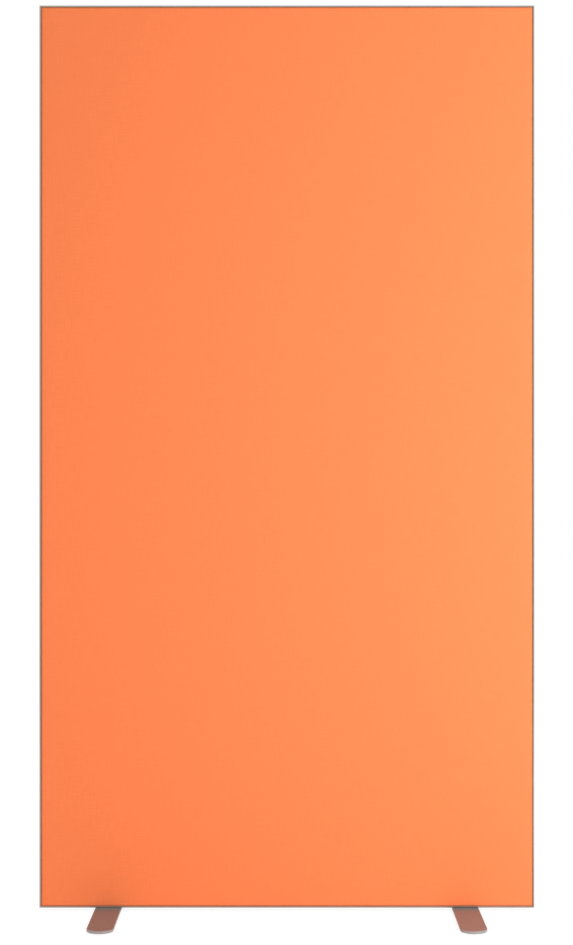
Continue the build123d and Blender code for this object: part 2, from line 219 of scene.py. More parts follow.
@dataclass(frozen=True)
class WovenPolyester(Finish):
    """Plain-woven polyester screen cloth, dyed in the yarn.

    Each yarn is a rounded ridge that dives under the next one across, so close by the eye sees a fine
    basket of ridges, with painted shade in the pores between them. Across a room it is an even matt
    colour.
    """

    # The darker orange: the slubs take it as their own tone, and the pores take it as painted shade
    shade: str = "#C9562A"
    # Real yarns lie about 0.5 mm apart: they are drawn coarser, so that the weave shows close by
    yarn_pitch: float = 0.9 * MM
    yarn_relief: float = 0.12 * MM
    relief_strength: float = 0.5
    slub_length: float = 30 * MM
    slub_yarns: int = 2
    slub_low: float = 0.6
    slub_high: float = 1.4
    slub_shade: float = 0.16
    # Below this share of a yarn's height the colour takes painted shade, up to this much at a pore's
    # bottom
    pore_height: float = 0.7
    pore_painted_shade: float = 0.30
    gloss_level: float = 0.2
    sheen: float = 0.06
    sheen_roughness: float = 0.5

    def material(self) -> bpy.types.Material:
        """Build the weave on the cloth's own flat coordinates, which it carries as an attribute."""
        material, tree, shader = start_material(self.name)
        add = partial(add_node, tree)
        flat = add("ShaderNodeAttribute", attribute_name="flat_place")
        yarns = add(
            "ShaderNodeVectorMath", {0: flat.outputs["Vector"], "Scale": 1 / self.yarn_pitch},
            operation="SCALE",
        )
        number = add("ShaderNodeVectorMath", {0: yarns}, operation="FLOOR")
        within = add("ShaderNodeVectorMath", {0: yarns}, operation="FRACTION")
        # A yarn's rounded back across it, 0 at its edges and 1 at its middle
        angle = add("ShaderNodeVectorMath", {0: within, "Scale": math.pi}, operation="SCALE")
        ridge = add("ShaderNodeVectorMath", {0: angle}, operation="SINE")
        ridges = add("ShaderNodeSeparateXYZ", {0: ridge})
        numbers = add("ShaderNodeSeparateXYZ", {0: number})
        total = add(
            "ShaderNodeMath", {0: numbers.outputs["X"], 1: numbers.outputs["Y"]}, operation="ADD"
        )
        # 0 where the warp lies on top and 1 where the weft does
        turn = add("ShaderNodeMath", {0: total, 1: 1.0}, operation="PINGPONG")
        warp, weft = ridges.outputs["X"], ridges.outputs["Y"]
        top = add("ShaderNodeMix", {"Factor_Float": turn, "A_Float": warp, "B_Float": weft})
        along = add("ShaderNodeMix", {"Factor_Float": turn, "A_Float": weft, "B_Float": warp})
        height = add("ShaderNodeMath", {0: top, 1: along}, operation="MULTIPLY")
        # Slubs: thicker, slightly darker lengths of single yarns, drawn wide enough to show a little
        lengthwise, crosswise = 1 / self.slub_length, 1 / (self.slub_yarns * self.yarn_pitch)
        slubs = []
        for stretch in ((lengthwise, crosswise), (crosswise, lengthwise)):
            place = add(
                "ShaderNodeVectorMath", {0: flat.outputs["Vector"], 1: (*stretch, 1.0)},
                operation="MULTIPLY",
            )
            slubs.append(add("ShaderNodeTexNoise", {"Vector": place, "Scale": 1.0, "Detail": 2.0}))
        slub = add(
            "ShaderNodeMath", {0: slubs[0].outputs["Fac"], 1: slubs[1].outputs["Fac"]},
            operation="ADD",
        )
        tone = add(
            "ShaderNodeMapRange",
            {"Value": slub, 1: self.slub_low, 2: self.slub_high, 3: 0.0, 4: self.slub_shade},
        )
        # Painted shade: the colour darkens towards the shade colour where the yarns dive down into the
        # pores
        painted_pore_shade = add(
            "ShaderNodeMapRange",
            {"Value": height, 1: 0.0, 2: self.pore_height, 3: self.pore_painted_shade, 4: 0.0},
        )
        # The slubs' own darker tone, plus the painted shade in the pores
        dark = add("ShaderNodeMath", {0: tone, 1: painted_pore_shade}, operation="ADD")
        colour = add(
            "ShaderNodeMix",
            {"Factor_Float": dark, "A_Color": linear(self.colour), "B_Color": linear(self.shade)},
            data_type="RGBA",
        )
        bump = add(
            "ShaderNodeBump",
            {"Height": height, "Strength": self.relief_strength, "Distance": self.yarn_relief},
        )
        feed(tree, shader, {
            "Base Color": colour.outputs[2],
            "Normal": bump.outputs["Normal"],
            "Roughness": self.roughness,
            "Specular IOR Level": self.gloss_level,
            "Sheen Weight": self.sheen,
            "Sheen Roughness": self.sheen_roughness,
        })
        return material


@dataclass(frozen=True)
class GrainedFinish(Finish):
    """One colour whose gloss and relief follow a fine noise, as a worked or moulded surface has."""

    relief: float = 0.01 * MM
    relief_strength: float = 0.4
    roughness_spread: float = 0.05

    def grain_shader(
        self, tree: bpy.types.NodeTree, shader: bpy.types.Node, patches: bpy.types.Node,
        height: bpy.types.Node,
    ) -> None:
        """Give the shader its colour, and a gloss and a relief that follow two noises.

        Args:
            tree: the material's tree.
            shader: its shader.
            patches: the node that gives the noise that the gloss follows.
            height: the node that gives the noise that the relief follows.
        """
        gloss = add_node(
            tree, "ShaderNodeMapRange", {
                "Value": patches, 1: NOISE_LOW, 2: NOISE_HIGH,
                3: self.roughness - self.roughness_spread, 4: self.roughness + self.roughness_spread,
            },
        )
        bump = add_node(
            tree, "ShaderNodeBump",
            {"Height": height, "Strength": self.relief_strength, "Distance": self.relief},
        )
        feed(tree, shader, {
            "Base Color": linear(self.colour),
            "Roughness": gloss,
            "Normal": bump.outputs["Normal"],
        })


@dataclass(frozen=True)
class DrawnMetal(GrainedFinish):
    """Extruded or brushed metal: faint lines run along it, which the gloss follows."""

    grain: Grain = Grain.ALONG_Z
    # The lines that a die leaves are finer than 0.1 mm: they are drawn coarser, so that they show
    line_pitch: float = 0.5 * MM
    line_length: float = 90 * MM
    clouds_per_metre: float = 14.0
    cloud_share: float = 0.35

    def material(self) -> bpy.types.Material:
        """Build the metal with its lines on Object coordinates."""
        material, tree, shader = start_material(self.name)
        add = partial(add_node, tree)
        place = add("ShaderNodeTexCoord")
        across, along = 1 / self.line_pitch, 1 / self.line_length
        stretch = tuple(along if axis is self.grain else across for axis in Grain)
        lines_at = add(
            "ShaderNodeVectorMath", {0: place.outputs["Object"], 1: stretch}, operation="MULTIPLY"
        )
        lines = add("ShaderNodeTexNoise", {"Vector": lines_at, "Scale": 1.0, "Detail": 3.0})
        clouds = add(
            "ShaderNodeTexNoise",
            {"Vector": place.outputs["Object"], "Scale": self.clouds_per_metre, "Detail": 2.0},
        )
        mixed = add(
            "ShaderNodeMix", {
                "Factor_Float": self.cloud_share, "A_Float": lines.outputs["Fac"],
                "B_Float": clouds.outputs["Fac"],
            },
        )
        self.grain_shader(tree, shader, mixed, lines)
        feed(tree, shader, {"Metallic": 1.0})
        return material


@dataclass(frozen=True)
class LacqueredPlate(Finish):
    """Cut steel plate in silver-grey stoving lacquer, with a painted highlight along its rounded rim.

    The flat face is a dull grey with a low gloss that mirrors what stands behind it at a low angle.
    On the rim, where the surface slopes, a lighter and more metallic satin silver is painted in as a
    highlight.
    """

    flake: str = "#827F7C"
    # Real flakes are some hundredths of a millimetre wide: they are drawn larger, so that they show
    flake_size: float = 0.35 * MM
    # The rim's painted highlight: its lighter colour, smoother gloss and metal share, and the slopes over
    # which it fades in
    rim: str = "#A2A3A4"
    rim_roughness: float = 0.2
    rim_metal: float = 0.6
    flat_from: float = 0.99
    rim_from: float = 0.92
    gloss_level: float = 0.1
    peel_pitch: float = 3 * MM
    peel_relief: float = 0.006 * MM
    peel_strength: float = 0.3

    def material(self) -> bpy.types.Material:
        """Build the lacquer with its flakes and faint orange peel, and the rim's painted highlight by its
        slope.
        """
        material, tree, shader = start_material(self.name)
        add = partial(add_node, tree)
        place = add("ShaderNodeTexCoord")
        flakes = add(
            "ShaderNodeTexVoronoi",
            {"Vector": place.outputs["Object"], "Scale": 1 / self.flake_size},
        )
        tint = add("ShaderNodeSeparateColor", {0: flakes.outputs["Color"]})
        lacquer = add(
            "ShaderNodeMix",
            {"Factor_Float": tint, "A_Color": linear(self.colour), "B_Color": linear(self.flake)},
            data_type="RGBA",
        )
        # The rim is where the surface slopes, up or down: there the colour is painted lighter and more
        # metallic, as a highlight
        facing = add("ShaderNodeNewGeometry")
        slope = add("ShaderNodeSeparateXYZ", {0: facing.outputs["Normal"]})
        flatness = add("ShaderNodeMath", {0: slope.outputs["Z"]}, operation="ABSOLUTE")
        rim = add(
            "ShaderNodeMapRange",
            {"Value": flatness, 1: self.flat_from, 2: self.rim_from, 3: 0.0, 4: 1.0},
            interpolation_type="SMOOTHSTEP",
        )
        metal = add("ShaderNodeMath", {0: rim, 1: self.rim_metal}, operation="MULTIPLY")
        colour = add(
            "ShaderNodeMix",
            {"Factor_Float": rim, "A_Color": lacquer.outputs[2], "B_Color": linear(self.rim)},
            data_type="RGBA",
        )
        gloss = add(
            "ShaderNodeMix",
            {"Factor_Float": rim, "A_Float": self.roughness, "B_Float": self.rim_roughness},
        )
        peel = add(
            "ShaderNodeTexNoise",
            {"Vector": place.outputs["Object"], "Scale": 1 / self.peel_pitch, "Detail": 1.0},
        )
        bump = add(
            "ShaderNodeBump",
            {"Height": peel.outputs["Fac"], "Strength": self.peel_strength, "Distance": self.peel_relief},
        )
        feed(tree, shader, {
            "Base Color": colour.outputs[2],
            "Metallic": metal,
            "Roughness": gloss,
            "Normal": bump.outputs["Normal"],
            "Specular IOR Level": self.gloss_level,
        })
        return material


@dataclass(frozen=True)
class MouldedPlastic(GrainedFinish):
    """Moulded or extruded plastic or rubber with a fine matt skin."""

    relief: float = 0.02 * MM
    roughness_spread: float = 0.06
    # A mould's or die's skin is about 0.1 mm fine: it is drawn coarser, so that it shows
    skin_pitch: float = 0.6 * MM

    def material(self) -> bpy.types.Material:
        """Build the skin's fine pimples on Object coordinates."""
        material, tree, shader = start_material(self.name)
        place = add_node(tree, "ShaderNodeTexCoord")
        skin = add_node(
            tree, "ShaderNodeTexNoise",
            {"Vector": place.outputs["Object"], "Scale": 1 / self.skin_pitch, "Detail": 2.0},
        )
        self.grain_shader(tree, shader, skin, skin)
        return material


@dataclass(frozen=True)
class KraftBoard(Finish):
    """Honeycomb board faced with brown kraft paper: matt, with short pale and dark fibres."""

    fibre: str = "#8A6A45"
    fibre_length: float = 4 * MM

    def material(self) -> bpy.types.Material:
        """Build the paper's fibres on Object coordinates."""
        material, tree, shader = start_material(self.name)
        place = add_node(tree, "ShaderNodeTexCoord")
        fibres = add_node(
            tree, "ShaderNodeTexNoise",
            {"Vector": place.outputs["Object"], "Scale": 1 / self.fibre_length, "Detail": 6.0},
        )
        colour = add_node(
            tree, "ShaderNodeMix", {
                "Factor_Float": fibres.outputs["Fac"], "A_Color": linear(self.colour),
                "B_Color": linear(self.fibre),
            }, data_type="RGBA",
        )
        feed(tree, shader, {"Base Color": colour.outputs[2], "Roughness": self.roughness})
        return material


# Plain-woven polyester, dyed in the yarn: an even, matt orange, with a hint of single yarns close by
ORANGE_CLOTH = WovenPolyester("woven_polyester_orange", "#FC8853", 0.85)
# Extruded aluminium, satin anodised: a soft warm-grey gloss, drawn out along the uprights
STILE_ALUMINIUM = DrawnMetal("anodised_aluminium_upright", "#ABA39A", 0.27, grain=Grain.ALONG_Z)
# The same metal on the level sections, so the gloss is drawn out along these
RAIL_ALUMINIUM = DrawnMetal("anodised_aluminium_level", "#ABA39A", 0.27, grain=Grain.ALONG_X)
# Aluminium as the mill delivers it, sawn to length: paler and duller, with blurred reflections
MILL_ALUMINIUM = DrawnMetal("mill_finish_aluminium", "#B9BABB", 0.42, grain=Grain.ALONG_X)
# Cut steel plate in silver-grey stoving lacquer: dull grey, but it mirrors the panel at a low angle; its
# rim is painted lighter as a highlight
FOOT_PLATE = LacqueredPlate("lacquered_steel_plate", "#7A7875", 0.15)
# Bright zinc plating on pressed and turned steel: a clean, slightly bluish shine
ZINC_PLATE = DrawnMetal("zinc_plated_steel", "#B4B6B8", 0.34, grain=Grain.ALONG_Y, line_pitch=0.3 * MM)
# Extruded silicone in the cloth's orange, painted darker than the cloth as shade: a matt, darker orange
# line in the groove, where the groove's own shade falls on it too
ORANGE_SILICONE = MouldedPlastic("extruded_silicone_orange", "#D67D54", 0.55)
# Extruded grey plastic: as grey as the metal beside it, but without its shine
GREY_PLASTIC = MouldedPlastic("extruded_plastic_grey", "#A6A29C", 0.45)
# Moulded black rubber: matt, so that it looks like a flat dark disc
BLACK_RUBBER = MouldedPlastic("moulded_rubber_black", "#262626", 0.75)
# Moulded black nylon: smoother than the rubber, with a faint waxy gloss
BLACK_NYLON = MouldedPlastic("moulded_nylon_black", "#1E1E1F", 0.40)
# Honeycomb board faced with kraft paper: matt brown with short fibres
KRAFT_PAPER = KraftBoard("kraft_honeycomb_board", "#B08A5B", 0.90)


@cache
def material_of(finish: Finish) -> bpy.types.Material:
    """Build a finish's material when it is first asked for, and give that one from then on.

    Args:
        finish: the finish.

    Returns:
        Its material.
    """
    return finish.material()


def dress(node: str, finish: Finish) -> None:
    """Give a CAD node one finish all over.

    Args:
        node: the node's name.
        finish: what it gets.
    """
    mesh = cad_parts[node].data
    mesh.materials.clear()
    mesh.materials.append(material_of(finish))
    log.info("%s: %s", node, finish.name)


def new_tree(
    name: str, inputs: dict[str, str]
) -> tuple[bpy.types.NodeTree, bpy.types.NodeOutputs, dict[str, str]]:
    """Start a geometry node tree with named inputs and one geometry output.

    Args:
        name: the tree's name.
        inputs: the name and socket type of each input besides place, turn and material.

    Returns:
        The tree, its input sockets, and each input's identifier by name.
    """
    tree = bpy.data.node_groups.new(name, "GeometryNodeTree")
    identifiers = {
        label: tree.interface.new_socket(label, in_out="INPUT", socket_type=kind).identifier
        for label, kind in (inputs | SHARED_INPUTS).items()
    }
    tree.interface.new_socket("Geometry", in_out="OUTPUT", socket_type="NodeSocketGeometry")
    return tree, add_node(tree, "NodeGroupInput").outputs, identifiers


def end_tree(tree: bpy.types.NodeTree, value: bpy.types.NodeOutputs, shape: bpy.types.Node) -> None:
    """End a geometry tree: the shape is put in its place, made real and given its material.

    Args:
        tree: the tree.
        value: its input sockets.
        shape: the node that gives the finished shape.
    """
    add = partial(add_node, tree)
    stood = add("GeometryNodeTransform", {
        "Geometry": shape, "Translation": value["Place"], "Rotation": value["Turn"],
    })
    real = add("GeometryNodeRealizeInstances", {"Geometry": stood})
    dressed = add("GeometryNodeSetMaterial", {"Geometry": real, "Material": value["Material"]})
    add("NodeGroupOutput", {0: dressed})


def grow(
    name: str, tree: bpy.types.NodeTree, identifiers: dict[str, str], values: dict[str, object]
) -> bpy.types.Object:
    """Run a geometry tree with its inputs and keep the result as a plain mesh object.

    Args:
        name: the piece's name.
        tree: the geometry node tree.
        identifiers: each input's identifier by name.
        values: each input's value by name.

    Returns:
        The finished object, at the origin.
    """
    maker = bpy.data.objects.new(f"{name}_maker", bpy.data.meshes.new(f"{name}_maker"))
    bpy.context.scene.collection.objects.link(maker)
    modifier = maker.modifiers.new("rule", "NODES")
    modifier.node_group = tree
    for label, value in values.items():
        modifier[identifiers[label]] = value
    graph = bpy.context.evaluated_depsgraph_get()
    mesh = bpy.data.meshes.new_from_object(maker.evaluated_get(graph), depsgraph=graph)
    bpy.data.objects.remove(maker)
    mesh.name = name
    piece = bpy.data.objects.new(name, mesh)
    bpy.context.scene.collection.objects.link(piece)
    return piece


@dataclass
class StretchedCloth:
    """One fabric: a flat face that turns over the frame's bead into a hem all round."""

    face: Face
    thickness: float = 0.6 * MM
    shoulder_radius: float = 1.05 * MM
    shoulder_rows: int = 6
    hem_rows: int = 3
    cell: float = 12 * MM
    slack: float = 0.12 * MM
    slack_pitch: float = 160 * MM
    slack_fade: float = 60 * MM
    noise_low: float = 0.2
    noise_high: float = 0.8
    seed: float = 3.0
    low: Vector = field(init=False)
    high: Vector = field(init=False)

    def __post_init__(self) -> None:
        """Read the fabric's place from the frame."""
        self.low, self.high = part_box(self.node)

    @property
    def node(self) -> str:
        """The name of the CAD node that the fabric stands for."""
        return f"{self.face.word}_fabric"

    @property
    def width(self) -> float:
        """Width over the shoulders."""
        return self.high.x - self.low.x

    @property
    def height(self) -> float:
        """Height over the shoulders."""
        return self.high.z - self.low.z

    @property
    def hem(self) -> float:
        """Straight part of the hem, below the shoulder."""
        return self.high.y - self.low.y - self.shoulder_radius

    @property
    def turn(self) -> float:
        """Length of cloth that turns over the frame on each side."""
        return self.shoulder_radius * math.pi / 2 + self.hem

    @property
    def flat_size(self) -> tuple[float, float]:
        """Width and length of the cut cloth."""
        return tuple(
            side - 2 * self.shoulder_radius + 2 * self.turn for side in (self.width, self.height)
        )

    def tree(self) -> tuple[bpy.types.NodeTree, dict[str, str]]:
        """Build the rule that folds a flat grid over the frame.

        Returns:
            The geometry tree and its inputs' identifiers.
        """
        tree, value, identifiers = new_tree("stretched_cloth", {
            "Columns": "NodeSocketInt",
            "Rows": "NodeSocketInt",
            "Flat Share": "NodeSocketVector",
            "Face Half": "NodeSocketVector",
            "Shoulder Share": "NodeSocketFloat",
            "Shoulder Radius": "NodeSocketFloat",
            "Hem": "NodeSocketFloat",
            "Slack": "NodeSocketFloat",
            "Slack Scale": "NodeSocketFloat",
            "Slack Fade": "NodeSocketFloat",
            "Noise Low": "NodeSocketFloat",
            "Noise High": "NodeSocketFloat",
            "Seed": "NodeSocketFloat",
        })
        add = partial(add_node, tree)
        grid = add("GeometryNodeMeshGrid", {
            "Size X": 1.0, "Size Y": 1.0, "Vertices X": value["Columns"], "Vertices Y": value["Rows"],
        })
        start = add("GeometryNodeInputPosition")
        size = add("ShaderNodeVectorMath", {0: start}, operation="ABSOLUTE")
        sign = add("ShaderNodeVectorMath", {0: start}, operation="SIGN")
        # The flat face takes the grid's middle, and the rows outside it take the turn over the bead
        within = add("ShaderNodeMapRange", {
            "Vector": size, "From_Min_FLOAT3": (0, 0, 0), "From_Max_FLOAT3": value["Flat Share"],
            "To_Min_FLOAT3": (0, 0, 0), "To_Max_FLOAT3": value["Face Half"],
        }, data_type="FLOAT_VECTOR").outputs["Vector"]
        beyond = add("ShaderNodeMapRange", {
            "Vector": size, "From_Min_FLOAT3": value["Flat Share"], "From_Max_FLOAT3": (0.5, 0.5, 1.0),
            "To_Min_FLOAT3": (0, 0, 0), "To_Max_FLOAT3": (1, 1, 0),
        }, data_type="FLOAT_VECTOR").outputs["Vector"]
        sides = add("ShaderNodeSeparateXYZ", {0: beyond}).outputs
        share = add("ShaderNodeMath", {0: sides["X"], 1: sides["Y"]}, operation="MAXIMUM")
        angle = add("ShaderNodeMapRange", {
            "Value": share, 1: 0.0, 2: value["Shoulder Share"], 3: 0.0, 4: math.pi / 2,
        })
        hem = add("ShaderNodeMapRange", {
            "Value": share, 1: value["Shoulder Share"], 2: 1.0, 3: 0.0, 4: value["Hem"],
        })
        radius = value["Shoulder Radius"]
        sine = add("ShaderNodeMath", {0: angle}, operation="SINE")
        cosine = add("ShaderNodeMath", {0: angle}, operation="COSINE")
        outwards = add("ShaderNodeMath", {0: sine, 1: radius}, operation="MULTIPLY")
        below = add("ShaderNodeMath", {0: radius, 1: hem}, operation="ADD")
        rise = add("ShaderNodeMath", {0: cosine, 1: radius}, operation="MULTIPLY")
        depth = add("ShaderNodeMath", {0: rise, 1: below}, operation="SUBTRACT")
        signed = add("ShaderNodeVectorMath", {0: beyond, 1: sign}, operation="MULTIPLY")
        away = add("ShaderNodeVectorMath", {0: signed}, operation="NORMALIZE")
        shift = add("ShaderNodeVectorMath", {0: away, "Scale": outwards}, operation="SCALE")
        flat_part = add("ShaderNodeVectorMath", {0: within, 1: sign}, operation="MULTIPLY")
        around = add("ShaderNodeVectorMath", {0: flat_part, 1: shift}, operation="ADD")
        # A stretched cloth is flat but for a breath of slack, which fades out towards the frame
        noise = add("ShaderNodeTexNoise", {
            "Vector": flat_part, "W": value["Seed"], "Scale": value["Slack Scale"], "Detail": 1.0,
        }, noise_dimensions="4D")
        slack = add("ShaderNodeMapRange", {
            "Value": noise.outputs["Fac"], 1: value["Noise Low"], 2: value["Noise High"],
            3: -1.0, 4: 0.0,
        })
        room = add("ShaderNodeVectorMath", {0: value["Face Half"], 1: within}, operation="SUBTRACT")
        rooms = add("ShaderNodeSeparateXYZ", {0: room}).outputs
        edge = add("ShaderNodeMath", {0: rooms["X"], 1: rooms["Y"]}, operation="MINIMUM")
        fade = add("ShaderNodeMapRange", {
            "Value": edge, 1: 0.0, 2: value["Slack Fade"], 3: 0.0, 4: value["Slack"],
        }, interpolation_type="SMOOTHSTEP")
        sunk = add("ShaderNodeMath", {0: slack, 1: fade, 2: depth}, operation="MULTIPLY_ADD")
        upright = add("ShaderNodeCombineXYZ", {"Z": sunk})
        place = add("ShaderNodeVectorMath", {0: around, 1: upright}, operation="ADD")
        # The cloth's own flat coordinates, in metres, which its weave follows round the edge
        arc = add("ShaderNodeMath", {0: radius, 1: math.pi / 2}, operation="MULTIPLY")
        arc_end = add("ShaderNodeCombineXYZ", {"X": arc, "Y": arc})
        hem_end = add("ShaderNodeCombineXYZ", {"X": value["Hem"], "Y": value["Hem"]})
        bend_share = add("ShaderNodeCombineXYZ", {
            "X": value["Shoulder Share"], "Y": value["Shoulder Share"], "Z": 0.5,
        })
        on_arc = add("ShaderNodeMapRange", {
            "Vector": beyond, "From_Min_FLOAT3": (0, 0, 0), "From_Max_FLOAT3": bend_share,
            "To_Min_FLOAT3": (0, 0, 0), "To_Max_FLOAT3": arc_end,
        }, data_type="FLOAT_VECTOR").outputs["Vector"]
        on_hem = add("ShaderNodeMapRange", {
            "Vector": beyond, "From_Min_FLOAT3": bend_share, "From_Max_FLOAT3": (1, 1, 1),
            "To_Min_FLOAT3": (0, 0, 0), "To_Max_FLOAT3": hem_end,
        }, data_type="FLOAT_VECTOR").outputs["Vector"]
        turned = add("ShaderNodeVectorMath", {0: on_arc, 1: on_hem}, operation="ADD")
        length = add("ShaderNodeVectorMath", {0: within, 1: turned}, operation="ADD")
        flat = add("ShaderNodeVectorMath", {0: length, 1: sign}, operation="MULTIPLY")
        marked = add("GeometryNodeStoreNamedAttribute", {
            "Geometry": grid.outputs["Mesh"], "Name": "flat_place", "Value": flat,
        }, data_type="FLOAT_VECTOR", domain="POINT")
        folded = add("GeometryNodeSetPosition", {"Geometry": marked, "Position": place})
        smooth = add("GeometryNodeSetShadeSmooth", {"Geometry": folded})
        end_tree(tree, value, smooth)
        return tree, identifiers

    def build(self, material: bpy.types.Material) -> bpy.types.Object:
        """Make the cloth, give it its thickness and put it in its CAD solid's place.

        Args:
            material: the cloth's material.

        Returns:
            The finished piece.
        """
        tree, identifiers = self.tree()
        turn_rows = self.shoulder_rows + self.hem_rows
        half_width, half_height = (side / 2 - self.shoulder_radius for side in (self.width, self.height))
        cells = [max(2, 2 * round(half / self.cell)) for half in (half_width, half_height)]
        columns, rows = (count + 2 * turn_rows for count in cells)
        front = self.low.y if self.face is Face.FRONT else self.high.y
        middle = (self.low + self.high) / 2
        piece = grow(f"{self.node}_cloth", tree, identifiers, {
            "Columns": columns + 1,
            "Rows": rows + 1,
            "Flat Share": (cells[0] / columns / 2, cells[1] / rows / 2, 0.5),
            "Face Half": (half_width, half_height, 0.0),
            "Shoulder Share": self.shoulder_rows / turn_rows,
            "Shoulder Radius": self.shoulder_radius,
            "Hem": self.hem,
            "Slack": self.slack,
            "Slack Scale": 1 / self.slack_pitch,
            "Slack Fade": self.slack_fade,
            "Noise Low": self.noise_low,
            "Noise High": self.noise_high,
            "Seed": self.seed + self.face.value,
            "Place": (middle.x, front, middle.z),
            "Turn": (math.pi / 2, 0.0, self.face.value),
            "Material": material,
        })
        wall = piece.modifiers.new("cloth_thickness", "SOLIDIFY")
        wall.thickness = self.thickness
        wall.offset = -1.0
        wall.use_even_offset = True
        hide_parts(self.node)
        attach(piece, "panel")
        log.info("%s: %d faces, cut %.4f x %.4f m", piece.name, len(piece.data.polygons), *self.flat_size)
        return piece


def close_mesh(tree: bpy.types.NodeTree, start: bpy.types.Node, drawn: bpy.types.Node) -> bpy.types.Node:
    """Close a mesh that was drawn out of a flat one, with the flat one turned over as its other end.

    Args:
        tree: the geometry tree.
        start: the node that gives the flat mesh.
        drawn: the node that gives the mesh drawn out of it.

    Returns:
        The node that gives the closed mesh.
    """
    turned = add_node(tree, "GeometryNodeFlipFaces", {"Mesh": start})
    joined = add_node(tree, "GeometryNodeJoinGeometry", {"Geometry": [drawn, turned]})
    return add_node(tree, "GeometryNodeMergeByDistance", {"Geometry": joined})


def smooth_by_angle(tree: bpy.types.NodeTree, shape: bpy.types.Node) -> bpy.types.Node:
    """Shade a mesh smooth and keep its sharp edges sharp.

    Args:
        tree: the geometry tree.
        shape: the node that gives the mesh.

    Returns:
        The node that gives the shaded mesh.
    """
    add = partial(add_node, tree)
    smooth = add("GeometryNodeSetShadeSmooth", {"Geometry": shape})
    angle = add("GeometryNodeInputMeshEdgeAngle")
    sharp = add(
        "ShaderNodeMath", {0: angle.outputs["Unsigned Angle"], 1: SHARP_ANGLE},
        operation="GREATER_THAN",
    )
    return add("GeometryNodeSetShadeSmooth", {
        "Geometry": smooth, "Selection": sharp, "Shade Smooth": False,
    }, domain="EDGE")


@dataclass
class EdgeStrip:
    """One silicone strip: a rounded bar that holds the fabric's hem in the frame's channel."""

    face: Face
    side: Side
    edge_radius: float = 0.6 * MM
    edge_points: int = 5

    @property
    def node(self) -> str:
        """The name of the CAD node that the strip stands for."""
        return f"{self.face.word}_edge_strip_{self.side.word}"

    def tree(self) -> tuple[bpy.types.NodeTree, dict[str, str]]:
        """Build the rule that fills a rounded section, draws it out and mitres both its ends.

        Returns:
            The geometry tree and its inputs' identifiers.
        """
        tree, value, identifiers = new_tree("edge_strip", {
            "Width": "NodeSocketFloat",
            "Depth": "NodeSocketFloat",
            "Length": "NodeSocketFloat",
            "Edge Radius": "NodeSocketFloat",
            "Edge Points": "NodeSocketInt",
        })
        add = partial(add_node, tree)
        section = add("GeometryNodeCurvePrimitiveQuadrilateral", {
            "Width": value["Width"], "Height": value["Depth"],
        })
        rounded = add("GeometryNodeFilletCurve", {
            "Curve": section, "Radius": value["Edge Radius"], "Count": value["Edge Points"],
        }, mode="POLY")
        end = add("GeometryNodeFillCurve", {"Curve": rounded}, mode="NGONS")
        reach = add("ShaderNodeCombineXYZ", {"Z": value["Length"]})
        drawn = add("GeometryNodeExtrudeMesh", {"Mesh": end, "Offset": reach, "Individual": False})
        closed = close_mesh(tree, end, drawn)
        # Both ends lean inwards at 45 degrees from the strip's outer side
        at = add("ShaderNodeSeparateXYZ", {0: add("GeometryNodeInputPosition")}).outputs
        half = add("ShaderNodeMath", {0: value["Width"], 1: 0.5}, operation="MULTIPLY")
        across = add("ShaderNodeMath", {0: at["X"], 1: half}, operation="ADD")
        lean = add("ShaderNodeMapRange", {
            "Value": at["Z"], 1: 0.0, 2: value["Length"], 3: 1.0, 4: -1.0,
        })
        shift = add("ShaderNodeMath", {0: across, 1: lean}, operation="MULTIPLY")
        upright = add("ShaderNodeCombineXYZ", {"Z": shift})
        mitred = add("GeometryNodeSetPosition", {"Geometry": closed, "Offset": upright})
        end_tree(tree, value, smooth_by_angle(tree, mitred))
        return tree, identifiers

    def build(self, material: bpy.types.Material) -> bpy.types.Object:
        """Make the strip in its CAD solid's place.

        Args:
            material: the silicone.

        Returns:
            The finished piece.
        """
        low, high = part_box(self.node)
        inwards, outwards = Vector(self.side.value), self.face.outwards
        along = inwards.cross(outwards)
        size = high - low
        width, depth, length = (abs(size.dot(axis)) for axis in (inwards, outwards, along))
        course = inwards + outwards + along
        start = Vector([low[i] if course[i] > 0 else high[i] for i in range(3)])
        place = start + inwards * width / 2 + outwards * depth / 2
        turn = Matrix((inwards, outwards, along)).transposed().to_euler()
        tree, identifiers = self.tree()
        piece = grow(f"{self.node}_silicone", tree, identifiers, {
            "Width": width,
            "Depth": depth,
            "Length": length,
            "Edge Radius": self.edge_radius,
            "Edge Points": self.edge_points,
            "Place": tuple(place),
            "Turn": tuple(turn),
            "Material": material,
        })
        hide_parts(self.node)
        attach(piece, "panel")
        log.info("%s: %d faces, %.3f m long", piece.name, len(piece.data.polygons), length)
        return piece


